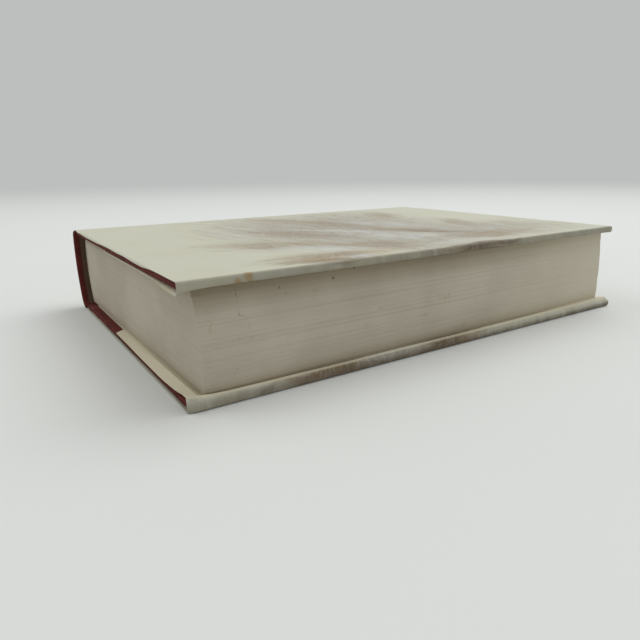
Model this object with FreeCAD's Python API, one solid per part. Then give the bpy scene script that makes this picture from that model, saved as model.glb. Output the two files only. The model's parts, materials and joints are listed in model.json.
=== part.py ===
import FreeCAD, Part
import math
import os

# Thick hardback book lying on its back cover, front cover up, in a loose dust jacket.
# X runs from the spine to the fore-edge, Y from the tail to the head, Z up.
# The origin is on the table, under the centre of the back board.

# Driving sizes in millimetres
board_width = 151.0
board_height = 240.4
board_thickness = 2.0
cloth_thickness = 0.3
cloth_turn_in = 15.0
pastedown_thickness = 0.15
pastedown_margin = 4.0
jacket_thickness = 0.2
jacket_set_back = 0.2
flap_width = 95.0

# The block of leaves, with one loose endpaper leaf above and one below
pages_thickness = 35.7
flyleaf_thickness = 0.15
end_square = 4.7
fore_square = 2.5
back_rounding = 4.2
block_turn_degrees = 0.6
front_flap_space = 0.3
back_flap_space = 0.8

# How far the top of the book has slid towards the spine
lean = 3.0

# The trimmed front edge of the leaves: a shallow belly, and a roll-off at the top
fore_belly = 1.0
fore_belly_height = 0.3
fore_shoulder_setback = 0.7
fore_shoulder_height = 0.8
fore_top_setback = 0.9

# The joint between each board and the spine, with room for the board to swing past
joint_width = 9.5
swing_clearance = 0.6

# The hollow spine of the case
strip_thickness = 1.0
spine_turn_in = 15.0
spine_top_radius = 4.5
spine_foot_radius = 8.0
spine_wall_radius = 60.0
spine_top_overhang = 2.8
spine_foot_overhang = -0.3
strip_corner_share = 0.5
mull_thickness = 0.2
lining_thickness = 0.2
mull_end_gap = 6.0

# The loose fold of the jacket round each front edge of the boards
front_loop_reach = 0.6
front_loop_rise = 3.35
front_loop_crest = -0.3
front_loop_tuck = 2.4
back_loop_reach = 1.2
back_loop_rise = 4.8
back_loop_crest = 0.3
back_loop_tuck = 1.9
fold_tolerance = 0.02

# Levels, heights and places worked out from the sizes above
case_depth = jacket_thickness + 2 * cloth_thickness + board_thickness + pastedown_thickness
cover_depth = case_depth + jacket_thickness
cover_height = board_height + 2 * cloth_thickness
jacket_height = cover_height - 2 * jacket_set_back
block_height = board_height - 2 * end_square
block_thickness = pages_thickness + 2 * flyleaf_thickness
block_foot = case_depth + back_flap_space
block_top = block_foot + block_thickness
book_thickness = block_top + front_flap_space + case_depth
board_spine_edge = -board_width / 2
board_fore_edge = board_width / 2
cloth_fore_edge = board_fore_edge + cloth_thickness
back_hinge_x = board_spine_edge - joint_width
front_hinge_x = back_hinge_x - lean
back_hinge_z = cover_depth / 2
front_hinge_z = book_thickness - cover_depth / 2
joint_sheet_reach = joint_width - swing_clearance


def slab(x_low, x_high, y_half, z_low, z_high):
    corner = FreeCAD.Vector(x_low, -y_half, z_low)
    return Part.makeBox(x_high - x_low, 2 * y_half, z_high - z_low, corner)


def section_point(x, z):
    return FreeCAD.Vector(x, 0, z)


def line_edge(start, end):
    return Part.LineSegment(start, end).toShape()


def turned_point(centre, radius, angle):
    x = centre.x + radius * math.cos(angle)
    z = centre.z + radius * math.sin(angle)
    return section_point(x, z)


def arc_edge(centre, radius, start_angle, end_angle):
    middle_angle = (start_angle + end_angle) / 2
    start = turned_point(centre, radius, start_angle)
    middle = turned_point(centre, radius, middle_angle)
    end = turned_point(centre, radius, end_angle)
    return Part.Arc(start, middle, end).toShape()


def extruded(edges, low_y, high_y):
    wire = Part.Wire(edges)
    wire.translate(FreeCAD.Vector(0, low_y, 0))
    return Part.Face(wire).extrude(FreeCAD.Vector(0, high_y - low_y, 0))


def direction_angle(origin, target):
    angle = math.atan2(target.z - origin.z, target.x - origin.x)
    return angle % (2 * math.pi)


# The outline of the closed spine is a wall between two rounded corners.
# Every layer of it is the same outline, moved inward by its depth.
spine_top_centre = section_point(front_hinge_x - spine_top_overhang, book_thickness - spine_top_radius)
spine_foot_centre = section_point(back_hinge_x - spine_foot_overhang, spine_foot_radius)


def wall_centre():
    reach_top = spine_wall_radius - spine_top_radius
    reach_foot = spine_wall_radius - spine_foot_radius
    between = spine_top_centre - spine_foot_centre
    span = between.Length
    along = (reach_foot ** 2 - reach_top ** 2 + span ** 2) / (2 * span)
    aside = math.sqrt(reach_foot ** 2 - along ** 2)
    unit = between / span
    foot_point = spine_foot_centre + unit * along
    return foot_point + section_point(unit.z, -unit.x) * aside


spine_wall_centre = wall_centre()
wall_start_angle = direction_angle(spine_wall_centre, spine_top_centre)
wall_end_angle = direction_angle(spine_wall_centre, spine_foot_centre)
top_angle = math.pi / 2
foot_angle = 3 * math.pi / 2


def spine_curve(depth, corner_share):
    start_angle = wall_start_angle + (top_angle - wall_start_angle) * corner_share
    end_angle = wall_end_angle + (foot_angle - wall_end_angle) * corner_share
    top = arc_edge(spine_top_centre, spine_top_radius - depth, start_angle, wall_start_angle)
    wall = arc_edge(spine_wall_centre, spine_wall_radius - depth, wall_start_angle, wall_end_angle)
    foot = arc_edge(spine_foot_centre, spine_foot_radius - depth, wall_end_angle, end_angle)
    return [top, wall, foot]


def end_point(edges, last):
    edge = edges[-1] if last else edges[0]
    return edge.valueAt(edge.LastParameter if last else edge.FirstParameter)


def band_edges(outer, inner):
    start = line_edge(end_point(inner, False), end_point(outer, False))
    finish = line_edge(end_point(outer, True), end_point(inner, True))
    return [start] + outer + [finish] + inner[::-1]


def spine_layer(outer_depth, inner_depth, corner_share, low_y, high_y):
    outer = spine_curve(outer_depth, corner_share)
    inner = spine_curve(inner_depth, corner_share)
    return extruded(band_edges(outer, inner), low_y, high_y)


def spine_sheet_curve(depth):
    curve = spine_curve(depth, 1.0)
    top_end = section_point(front_hinge_x + joint_sheet_reach, book_thickness - depth)
    foot_end = section_point(back_hinge_x + joint_sheet_reach, depth)
    top_line = line_edge(top_end, end_point(curve, False))
    foot_line = line_edge(end_point(curve, True), foot_end)
    return [top_line] + curve + [foot_line]


def spine_sheet(outer_depth, inner_depth, height):
    outer = spine_sheet_curve(outer_depth)
    inner = spine_sheet_curve(inner_depth)
    return extruded(band_edges(outer, inner), -height / 2, height / 2)


# Depths of the layers of the spine, from the outside in
cloth_depth = jacket_thickness
strip_depth = cloth_depth + cloth_thickness
strip_back_depth = strip_depth + strip_thickness
cloth_back_depth = strip_back_depth + cloth_thickness


def jacket_spine():
    return spine_sheet(0, jacket_thickness, jacket_height)


def spine_strip():
    half = board_height / 2
    return spine_layer(strip_depth, strip_back_depth, strip_corner_share, -half, half)


def spine_cloth():
    cloth = spine_sheet(cloth_depth, strip_depth, cover_height)
    half = cover_height / 2
    for side in (-1, 1):
        cap = sorted((side * board_height / 2, side * half))
        turned = sorted((side * (half - spine_turn_in), side * half))
        over_end = spine_layer(strip_depth, cloth_back_depth, strip_corner_share, *cap)
        inside = spine_layer(strip_back_depth, cloth_back_depth, strip_corner_share, *turned)
        cloth = cloth.fuse([over_end, inside])
    return cloth.removeSplitter()


# Each cover is drawn as the back one, with its outer face on the table.
# The front cover is the same thing turned over, and slid by the lean.
def turned_over(shape):
    over = shape.mirror(FreeCAD.Vector(0, 0, book_thickness / 2), FreeCAD.Vector(0, 0, 1))
    over.translate(FreeCAD.Vector(-lean, 0, 0))
    return over


board_low = jacket_thickness + cloth_thickness
board_high = board_low + board_thickness
turn_in_high = board_high + cloth_thickness


def board():
    return slab(board_spine_edge, board_fore_edge, board_height / 2, board_low, board_high)


def cover_cloth():
    half = board_height / 2
    window_half = half - cloth_turn_in
    window_edge = board_fore_edge - cloth_turn_in
    wrap = slab(board_spine_edge, cloth_fore_edge, cover_height / 2, jacket_thickness, turn_in_high)
    window = slab(board_spine_edge, window_edge, window_half, board_high, turn_in_high)
    return wrap.cut([board(), window])


def pastedown():
    half = board_height / 2 - pastedown_margin
    edge = board_fore_edge - pastedown_margin
    window_half = board_height / 2 - cloth_turn_in
    window_edge = board_fore_edge - cloth_turn_in
    wall = pastedown_thickness
    over_cloth = slab(board_spine_edge, edge, half, turn_in_high, turn_in_high + wall)
    hole = slab(board_spine_edge, window_edge - wall, window_half - wall, board_high + wall, case_depth)
    sunk = slab(board_spine_edge, window_edge, window_half, board_high, case_depth)
    return over_cloth.fuse(sunk).cut(hole).removeSplitter()


def fold_curve(inset, reach, rise, crest, tuck):
    points = [
        section_point(cloth_fore_edge + jacket_thickness, inset),
        section_point(cloth_fore_edge + reach - inset, rise / 2),
        section_point(cloth_fore_edge + crest, rise - inset),
        section_point(cloth_fore_edge - tuck, cover_depth - inset),
    ]
    outward = section_point(1, 0)
    upward = section_point(0, 1)
    inward = section_point(-1, 0)
    curve = Part.BSplineCurve()
    directions = [outward, upward, inward, inward]
    curve.interpolate(Points=points, Tangents=directions, TangentFlags=[True] * len(points))
    fold = [arc.toShape() for arc in curve.toBiArcs(fold_tolerance)]
    start = section_point(board_spine_edge, inset)
    flap_end = section_point(cloth_fore_edge - flap_width, cover_depth - inset)
    return [line_edge(start, points[0])] + fold + [line_edge(points[-1], flap_end)]


def cover_jacket(reach, rise, crest, tuck):
    outer = fold_curve(0, reach, rise, crest, tuck)
    inner = fold_curve(jacket_thickness, reach, rise, crest, tuck)
    return extruded(band_edges(outer, inner), -jacket_height / 2, jacket_height / 2)


# The block is one prism with a rounded back and a trimmed front edge.
back_foot = section_point(back_hinge_x, block_foot)
back_top = section_point(front_hinge_x, block_top)
block_fore_foot = board_fore_edge - fore_square
block_centre = section_point((back_hinge_x + block_fore_foot) / 2, block_foot)


def back_arc():
    middle = (back_foot + back_top) * 0.5
    chord = back_top - back_foot
    outward = section_point(-chord.z, chord.x) / chord.Length
    return Part.Arc(back_foot, middle + outward * back_rounding, back_top)


def turned_with_block(shape):
    shape.rotate(block_centre, FreeCAD.Vector(0, 0, 1), block_turn_degrees)
    return shape


def leaf_stack():
    belly_z = block_foot + fore_belly_height * block_thickness
    shoulder_z = block_foot + fore_shoulder_height * block_thickness
    belly_x = block_fore_foot - lean * fore_belly_height + fore_belly + fore_shoulder_setback
    shoulder_x = block_fore_foot - lean * fore_shoulder_height + fore_shoulder_setback
    foot = section_point(block_fore_foot, block_foot)
    top = section_point(block_fore_foot - lean - fore_top_setback, block_top)
    fore = Part.BSplineCurve()
    fore.interpolate([foot, section_point(belly_x, belly_z), section_point(shoulder_x, shoulder_z), top])
    edges = [
        line_edge(back_foot, foot),
        fore.toShape(),
        line_edge(top, back_top),
        back_arc().toShape(),
    ]
    return extruded(edges, -block_height / 2, block_height / 2)


def leaves_between(low, high):
    reach = board_width
    layer = leaf_stack().common(slab(-reach, reach, block_height, low, high))
    return turned_with_block(layer)


def text_block():
    return leaves_between(block_foot + flyleaf_thickness, block_top - flyleaf_thickness)


def back_flyleaf():
    return leaves_between(block_foot, block_foot + flyleaf_thickness)


def front_flyleaf():
    return leaves_between(block_top - flyleaf_thickness, block_top)


def back_layer(inner_gap, outer_gap, end_gap):
    arc = back_arc().toShape().Curve
    centre = arc.Center
    start_angle = direction_angle(centre, back_top)
    end_angle = direction_angle(centre, back_foot)
    outer = [arc_edge(centre, arc.Radius + outer_gap, start_angle, end_angle)]
    inner = [arc_edge(centre, arc.Radius + inner_gap, start_angle, end_angle)]
    half = block_height / 2 - end_gap
    return turned_with_block(extruded(band_edges(outer, inner), -half, half))


def mull():
    return back_layer(0, mull_thickness, mull_end_gap)


def spine_lining():
    return back_layer(mull_thickness, mull_thickness + lining_thickness, 0)


nodes = {
    "text_block": text_block(),
    "front_flyleaf": front_flyleaf(),
    "back_flyleaf": back_flyleaf(),
    "mull": mull(),
    "spine_lining": spine_lining(),
    "spine_strip": spine_strip(),
    "spine_cloth": spine_cloth(),
    "jacket_spine": jacket_spine(),
    "back_board": board(),
    "back_cloth": cover_cloth(),
    "back_pastedown": pastedown(),
    "jacket_back": cover_jacket(back_loop_reach, back_loop_rise, back_loop_crest, back_loop_tuck),
    "front_board": turned_over(board()),
    "front_cloth": turned_over(cover_cloth()),
    "front_pastedown": turned_over(pastedown()),
    "jacket_front": turned_over(
        cover_jacket(front_loop_reach, front_loop_rise, front_loop_crest, front_loop_tuck)
    ),
}

os.makedirs("parts", exist_ok=True)
for name, shape in nodes.items():
    solid = shape.Solids[0]
    solid.exportStep("parts/" + name + ".step")
    box = solid.BoundBox
    corners = (box.XMin, box.XMax, box.YMin, box.YMax, box.ZMin, box.ZMax)
    limits = " ".join(f"{value:8.2f}" for value in corners)
    print(f"{name:16s} solids {len(shape.Solids)} volume {solid.Volume:12.1f} box {limits}")
print("thickness", round(book_thickness, 3))
print("front hinge", front_hinge_x, front_hinge_z, "back hinge", back_hinge_x, back_hinge_z)
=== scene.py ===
import json
import math
import random
import bmesh
import bpy
from mathutils import Matrix, Vector, noise
from mathutils.geometry import interpolate_bezier


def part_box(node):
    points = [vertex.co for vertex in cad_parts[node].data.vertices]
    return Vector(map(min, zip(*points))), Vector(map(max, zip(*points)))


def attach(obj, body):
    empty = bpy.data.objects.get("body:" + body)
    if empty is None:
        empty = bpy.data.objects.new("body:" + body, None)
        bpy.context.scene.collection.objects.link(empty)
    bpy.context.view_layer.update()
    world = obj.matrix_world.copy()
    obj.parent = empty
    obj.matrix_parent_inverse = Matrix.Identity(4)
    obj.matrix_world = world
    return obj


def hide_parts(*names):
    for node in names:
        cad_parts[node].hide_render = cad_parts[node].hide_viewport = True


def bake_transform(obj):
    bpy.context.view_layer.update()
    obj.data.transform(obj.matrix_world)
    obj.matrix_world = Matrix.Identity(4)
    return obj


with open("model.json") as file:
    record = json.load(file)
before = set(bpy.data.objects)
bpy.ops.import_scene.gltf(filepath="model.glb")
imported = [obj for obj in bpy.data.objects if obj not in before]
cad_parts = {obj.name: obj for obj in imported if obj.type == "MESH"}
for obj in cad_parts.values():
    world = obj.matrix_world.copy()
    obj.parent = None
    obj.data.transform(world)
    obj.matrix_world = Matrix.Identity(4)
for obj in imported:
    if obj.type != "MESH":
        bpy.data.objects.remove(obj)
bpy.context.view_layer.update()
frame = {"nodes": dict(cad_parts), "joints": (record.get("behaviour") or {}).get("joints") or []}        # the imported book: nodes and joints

mm = 0.001               # the tables below are in millimetres, the meshes in metres


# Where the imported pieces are, in millimetres
def nodeBox(node):
    low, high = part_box(node)
    return low / mm, high / mm


hinge = {joint["name"]: Vector(joint["pos_m"]) / mm for joint in frame["joints"]}
frontHinge = hinge["front_cover_joint"]
backHinge = hinge["back_cover_joint"]
boardLow, boardHigh = nodeBox("back_board")
frontBoardLow, frontBoardHigh = nodeBox("front_board")
blockFoot = nodeBox("back_flyleaf")[1].z
blockTop = nodeBox("front_flyleaf")[0].z
bookTop = nodeBox("jacket_front")[1].z
lean = boardLow.x - frontBoardLow.x
halfBoard = boardHigh.y
halfCloth = nodeBox("back_cloth")[1].y
halfJacket = nodeBox("jacket_back")[1].y
clothEdge = nodeBox("back_cloth")[1].x          # front edge of the wrapped back board
pasteFace = nodeBox("back_pastedown")[1].z      # inner face of the closed back cover


# Mesh helpers
def stopCounts(points, step, fewest=3):
    # how many stops each stretch of a line gets
    stretches = zip(points, points[1:])
    return [max(fewest, math.ceil(math.dist(a, b) / step)) for a, b in stretches]


def smoothPath(points, counts):
    # a rounded line through points of X and Z
    vectors = [Vector((x, 0, z)) for x, z in points]
    last = len(vectors) - 1
    path = [vectors[0]]
    for i in range(last):
        a, b = vectors[i], vectors[i + 1]
        reach = (b - a).length / 3
        leave = (b - vectors[max(i - 1, 0)]).normalized()
        arrive = (vectors[min(i + 2, last)] - a).normalized()
        path += interpolate_bezier(a, a + leave * reach, b - arrive * reach, b, counts[i] + 1)[1:]
    return path


def lengthsAlong(path):
    lengths = [0.0]
    for a, b in zip(path, path[1:]):
        lengths.append(lengths[-1] + (b - a).length)
    return lengths


def evenStops(low, high, step):
    count = max(2, round((high - low) / step))
    return [low + (high - low) * i / count for i in range(count + 1)]


def easedStops(low, high, fine, step, growth=1.3):
    # close together at both ends, where paper curls, and wider apart between them
    half = [low]
    gap = fine
    while half[-1] + gap < (low + high) / 2:
        half.append(half[-1] + gap)
        gap = min(step, gap * growth)
    return half + [low + high - stop for stop in reversed(half)]


def easeIn(low, high, value):
    # 0 up to low, 1 from high on, smooth between; low may be the larger one
    share = min(1.0, max(0.0, (value - low) / (high - low)))
    return share * share * (3 - 2 * share)


def lookUp(table, value):
    # straight lines between the listed places
    for (a, low), (b, high) in zip(table, table[1:]):
        if value <= b:
            return low + (high - low) * max(0.0, value - a) / (b - a)
    return table[-1][1]


def gridObject(name, rows, around=False, prints=None):
    # rows of points in millimetres become one quad mesh; prints holds a place on flat paper for each point
    width = len(rows[0])
    points = [tuple(p * mm for p in point) for row in rows for point in row]
    faces = []
    for r in range(len(rows) - 1):
        for c in range(width if around else width - 1):
            after = (c + 1) % width
            faces.append((r * width + c, r * width + after, (r + 1) * width + after, (r + 1) * width + c))
    mesh = bpy.data.meshes.new(name)
    mesh.from_pydata(points, [], faces)
    if prints:
        flat = [place for row in prints for place in row]
        layer = mesh.uv_layers.new(name="print")
        for loop in mesh.loops:
            layer.data[loop.index].uv = flat[loop.vertex_index]
    piece = bpy.data.objects.new(name, mesh)
    bpy.context.scene.collection.objects.link(piece)
    return piece


def thicken(piece, thickness, sharpFrom=40):
    # the sheet gets its real thickness, half to each side, as plain mesh
    sheet = piece.modifiers.new("sheet", "SOLIDIFY")
    sheet.thickness = thickness * mm
    sheet.offset = 0
    sheet.material_offset_rim = 1        # a second finish, where there is one, goes on the cut edge
    graph = bpy.context.evaluated_depsgraph_get()
    piece.data = bpy.data.meshes.new_from_object(piece.evaluated_get(graph))
    piece.modifiers.clear()
    smoothShade(piece, sharpFrom)
    return piece


def smoothShade(piece, sharpFrom=40):
    piece.data.shade_smooth()
    piece.data.set_sharp_from_angle(angle=math.radians(sharpFrom))


def wobble(x, y, z, seed):
    # smooth noise from -1 to 1
    return noise.noise(Vector((x, y, z)) + Vector((seed * 7.3, seed * 3.1, seed * 1.7)))


def turnedOver(point):
    # from the back cover's place to the front cover's
    return Vector((point[0] - lean, point[1], bookTop - point[2]))


# Material helpers
def newMaterial(name):
    material = bpy.data.materials.new(name)
    material.use_nodes = True
    material.node_tree.nodes.clear()
    return material


def add(tree, kind, inputs=None, **settings):
    node = tree.nodes.new("ShaderNode" + kind)
    for key, value in settings.items():
        setattr(node, key, value)
    for key, value in (inputs or {}).items():
        if isinstance(value, bpy.types.NodeSocket):
            tree.links.new(value, node.inputs[key])
        else:
            node.inputs[key].default_value = value
    return node


def calc(tree, operation, a, b=0.0, c=0.0, clamp=False):
    return add(tree, "Math", {0: a, 1: b, 2: c}, operation=operation, use_clamp=clamp).outputs[0]


def blendColour(tree, share, a, b, mode="MIX"):
    node = add(tree, "Mix", {0: share, 6: a, 7: b}, data_type="RGBA", blend_type=mode)
    return node.outputs[2]


def spread(tree, value, low, high):
    # 0 below low, 1 above high, smooth between
    inputs = {"Value": value, "From Min": low, "From Max": high}
    return add(tree, "MapRange", inputs, interpolation_type="SMOOTHSTEP").outputs[0]


def patch(tree, place, scale, detail=2.0, roughness=0.5, stretch=(1, 1, 1), turn=(0, 0, 0)):
    mapped = add(tree, "Mapping", {"Vector": place, "Rotation": turn, "Scale": stretch})
    inputs = {"Vector": mapped.outputs[0], "Scale": scale, "Detail": detail, "Roughness": roughness}
    return add(tree, "TexNoise", inputs).outputs["Fac"]


def warped(tree, place, scale, amount):
    # the place, pushed about by soft noise
    cloud = add(tree, "TexNoise", {"Vector": place, "Scale": scale, "Detail": 2.0}).outputs["Color"]
    centred = add(tree, "VectorMath", {0: cloud, 1: (0.5, 0.5, 0.5)}, operation="SUBTRACT").outputs[0]
    push = add(tree, "VectorMath", {0: centred, "Scale": amount}, operation="SCALE").outputs[0]
    return add(tree, "VectorMath", {0: place, 1: push}, operation="ADD").outputs[0]


def finishMaterial(material, colour, roughness, height=None, bumpDepth=0.0, bump=0.4, **sockets):
    tree = material.node_tree
    inputs = {"Base Color": colour, "Roughness": roughness}
    if height is not None:
        relief = add(tree, "Bump", {"Height": height, "Strength": bump, "Distance": bumpDepth * mm})
        inputs["Normal"] = relief.outputs[0]
    shader = add(tree, "BsdfPrincipled", inputs)
    for key, value in sockets.items():
        shader.inputs[key.replace("_", " ")].default_value = value
    out = add(tree, "OutputMaterial")
    tree.links.new(shader.outputs[0], out.inputs[0])
    return material


def tone(red, green, blue):
    # a colour as it looks on screen, 0 to 255, for a shader socket
    def straight(value):
        share = value / 255
        return share / 12.92 if share <= 0.04045 else ((share + 0.055) / 1.055) ** 2.4
    return (straight(red), straight(green), straight(blue), 1.0)


# Materials
jacketLook = {
    "cream": tone(199, 199, 181),
    "flapCream": tone(208, 201, 175),
    "white": tone(205, 208, 203),
    "grey": tone(168, 164, 153),
    "umber": tone(146, 126, 100),
    "dark": tone(102, 82, 58),
    "ochre": tone(176, 152, 112),
    "stain": tone(146, 110, 46),
    "roughness": 0.62,
    "stainSpots": [(161.5, -96.0, 2.0), (163.5, -99.6, 1.5), (164.0, -95.0, 1.2)],
    # brushed drifts of the print on the flat sheet: across, up, half length, half width, turn, colour, strength
    "drifts": [
        (88, -8, 100, 64, 14, "grey", 0.82), (52, 34, 70, 46, 0, "grey", 0.5), (124, 66, 62, 36, 76, "grey", 0.6),
        (114, -60, 34, 16, 60, "umber", 0.5), (86, -34, 34, 16, 34, "umber", 0.55), (136, -24, 30, 12, 72, "umber", 0.6),
        (62, 8, 36, 14, 18, "umber", 0.5), (140, 46, 32, 12, 82, "umber", 0.6), (40, 60, 30, 13, -24, "umber", 0.4),
        (106, 20, 30, 12, 48, "umber", 0.5), (30, -10, 26, 12, 30, "umber", 0.35), (92, 70, 28, 11, -10, "umber", 0.45),
        (132, -48, 26, 10, 66, "white", 0.6), (100, -10, 32, 13, 38, "white", 0.75), (74, -54, 26, 10, 44, "white", 0.4),
        (124, 8, 24, 11, 78, "white", 0.6), (78, 30, 30, 12, 12, "white", 0.45), (148, 22, 22, 7, 86, "white", 0.5),
        (152, -58, 27, 13, 82, "umber", 0.75), (159, -60, 20, 5, 86, "dark", 0.6),
        (158, -50, 14, 5, 80, "white", 0.7), (118, 30, 24, 6, 58, "dark", 0.45), (92, -20, 22, 5, 42, "dark", 0.4),
        (161, 22, 26, 6, 90, "dark", 0.9), (150, -34, 16, 6, 80, "ochre", 0.45), (156, -64, 12, 5, 84, "ochre", 0.4),
        (-26, 8, 60, 20, 84, "grey", 0.5), (-20, -30, 44, 9, 86, "umber", 0.5), (-30, 48, 50, 10, 88, "white", 0.7),
        (-150, -8, 84, 74, 0, "grey", 0.5), (-210, -98, 24, 13, 78, "grey", 0.7), (-218, -64, 26, 15, 84, "umber", 0.85),
        (-217, -58, 17, 9, 84, "dark", 0.95), (-212, -30, 30, 10, 76, "grey", 0.6), (-218, -3, 24, 15, 94, "umber", 0.85),
        (-217, -7, 15, 9, 90, "dark", 0.9), (-176, -22, 60, 18, 24, "white", 0.8), (-140, 14, 60, 14, -32, "umber", 0.6),
        (-120, -50, 56, 12, 18, "dark", 0.5), (-96, 40, 50, 16, -10, "white", 0.7), (-190, 44, 30, 7, 62, "ochre", 0.5),
    ],
    # both front folds carry painted shade, in streaks: from and to across the sheet, blur, strength, share in streaks
    "foldShade": tone(94, 83, 68),
    "crestHighlight": (-221.0, -218.9, 0.6),         # painted highlight along the lit top of the back fold: from, to, strength
    "shadedFolds": [(160.4, 165.2, 0.6, 0.54, 0.3), (-219.4, -213.5, 0.8, 0.26, 0.9), (-217.0, -213.5, 1.3, 0.72, 0.7)],
}


def driftShare(tree, place, drift, seed):
    # one brushed drift: full in its middle, torn out into strands at its ends
    across, up, halfLength, halfWidth, turn = drift[:5]
    inputs = {
        "Vector": place,
        "Location": (across * mm, up * mm, 0),
        "Rotation": (0, 0, math.radians(turn)),
        "Scale": (halfLength * mm, halfWidth * mm, 1),
    }
    local = add(tree, "Mapping", inputs, vector_type="TEXTURE").outputs[0]
    away = add(tree, "VectorMath", {0: local}, operation="LENGTH").outputs["Value"]
    shifted = add(tree, "VectorMath", {0: local, 1: (seed * 3.7, seed * 1.3, seed)}, operation="ADD").outputs[0]
    strands = patch(tree, shifted, 1.0, 4.0, 0.72, (1.4, max(2.4, halfWidth * 0.42), 1.0))
    torn = calc(tree, "MULTIPLY_ADD", strands, 2.0, calc(tree, "SUBTRACT", away, 1.0))
    return calc(tree, "SUBTRACT", 1.0, spread(tree, torn, 0.25, 1.15))


def jacketPaper():
    # brushed drifts of grey, white and brown over cream, with fine combed hairs; all laid out on the flat sheet
    look = jacketLook
    material = newMaterial("jacketPaper")
    tree = material.node_tree
    flat = add(tree, "UVMap", uv_map="print").outputs[0]
    split = add(tree, "SeparateXYZ", {0: flat})
    across, up = split.outputs[0], split.outputs[1]
    soft = warped(tree, flat, 16.0, 0.03)
    panels = calc(tree, "SUBTRACT", spread(tree, across, -0.221, -0.2198), spread(tree, across, 0.166, 0.17))
    flapShare = calc(tree, "SUBTRACT", 1.0, panels)
    colour = blendColour(tree, flapShare, look["cream"], look["flapCream"])
    coat = 0.0
    for seed, drift in enumerate(look["drifts"]):
        share = driftShare(tree, soft, drift, seed)
        shade, strength = drift[5:]
        colour = blendColour(tree, calc(tree, "MULTIPLY", share, strength), colour, look[shade])
        if shade in ("grey", "umber", "dark"):
            coat = share if coat == 0.0 else calc(tree, "MAXIMUM", coat, share)
    # fine combed hairs: noise drawn out along bent lines, over the grey and brown parts only
    bent = warped(tree, flat, 34.0, 0.012)
    hairs = patch(tree, bent, 1500.0, 4.0, 0.75, (0.12, 1.0, 1.0), (0, 0, 0.35))
    crossHairs = patch(tree, bent, 1150.0, 4.0, 0.75, (0.14, 1.0, 1.0), (0, 0, -0.5))
    clouds = patch(tree, bent, 130.0, 5.0, 0.75, (0.4, 1.0, 1.0), (0, 0, 0.2))
    darkHair = calc(tree, "MULTIPLY", spread(tree, hairs, 0.46, 0.68), coat)
    paleHair = calc(tree, "MULTIPLY", spread(tree, crossHairs, 0.46, 0.68), coat)
    cloudShare = calc(tree, "MULTIPLY", spread(tree, clouds, 0.42, 0.66), coat)
    colour = blendColour(tree, calc(tree, "MULTIPLY", cloudShare, 0.42), colour, look["umber"])
    colour = blendColour(tree, calc(tree, "MULTIPLY", darkHair, 0.3), colour, look["dark"])
    colour = blendColour(tree, calc(tree, "MULTIPLY", paleHair, 0.35), colour, look["white"])
    streaks = patch(tree, flat, 120.0, 4.0, 0.65, (0.3, 1.0, 1.0))
    uneven = calc(tree, "MULTIPLY_ADD", spread(tree, streaks, 0.32, 0.68), 0.8, 0.6)
    uneven = calc(tree, "MULTIPLY", uneven, calc(tree, "MULTIPLY_ADD", spread(tree, up, -0.125, -0.05), 0.6, 0.4))
    # painted shade on the faces of both folds, broken into streaks and weaker towards the tail
    for low, high, blur, strength, streaky in look["shadedFolds"]:
        into = spread(tree, across, (low - blur) * mm, (low + blur) * mm)
        outOf = spread(tree, across, (high - blur) * mm, (high + blur) * mm)
        depth = calc(tree, "MULTIPLY_ADD", uneven, strength * streaky, strength * (1 - streaky))
        foldShadeShare = calc(tree, "MULTIPLY", calc(tree, "SUBTRACT", into, outOf), depth, clamp=True)
        colour = blendColour(tree, foldShadeShare, colour, look["foldShade"])
    # painted highlight on the crest of the back fold
    low, high, strength = look["crestHighlight"]
    into = spread(tree, across, (low - 0.3) * mm, (low + 0.3) * mm)
    outOf = spread(tree, across, (high - 0.5) * mm, (high + 0.5) * mm)
    crestLight = calc(tree, "MULTIPLY", calc(tree, "SUBTRACT", into, outOf), strength)
    colour = blendColour(tree, crestLight, colour, look["flapCream"])
    # handling: faint yellowing, two rusty drops by the front fold, and a fine fibre in the sheet
    age = spread(tree, patch(tree, flat, 35.0, 4.0, 0.6), 0.4, 0.75)
    colour = blendColour(tree, calc(tree, "MULTIPLY", age, 0.12), colour, tone(188, 172, 130))
    drops = spotMask(tree, warped(tree, flat, 420.0, 0.0022), look["stainSpots"], 1.3)
    colour = blendColour(tree, calc(tree, "MULTIPLY", drops, 0.62), colour, look["stain"])
    fibre = patch(tree, flat, 900.0, 4.0, 0.65, (1.0, 0.55, 1.0))
    ripple = patch(tree, flat, 32.0, 2.0, 0.5)
    height = calc(tree, "MULTIPLY_ADD", fibre, 0.12, ripple)
    sheen = calc(tree, "MULTIPLY_ADD", age, 0.15, look["roughness"])
    return finishMaterial(material, colour, sheen, height, 0.25, 0.3, Specular_IOR_Level=0.3)


clothLook = {
    "maroon": tone(104, 46, 41),
    "deep": tone(84, 37, 33),
    "worn": tone(128, 72, 68),
    # painted shade for the hollow of the spine
    "spineShade": tone(100, 86, 68),
    "threads": 1500.0,          # threads to the metre
}


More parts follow.
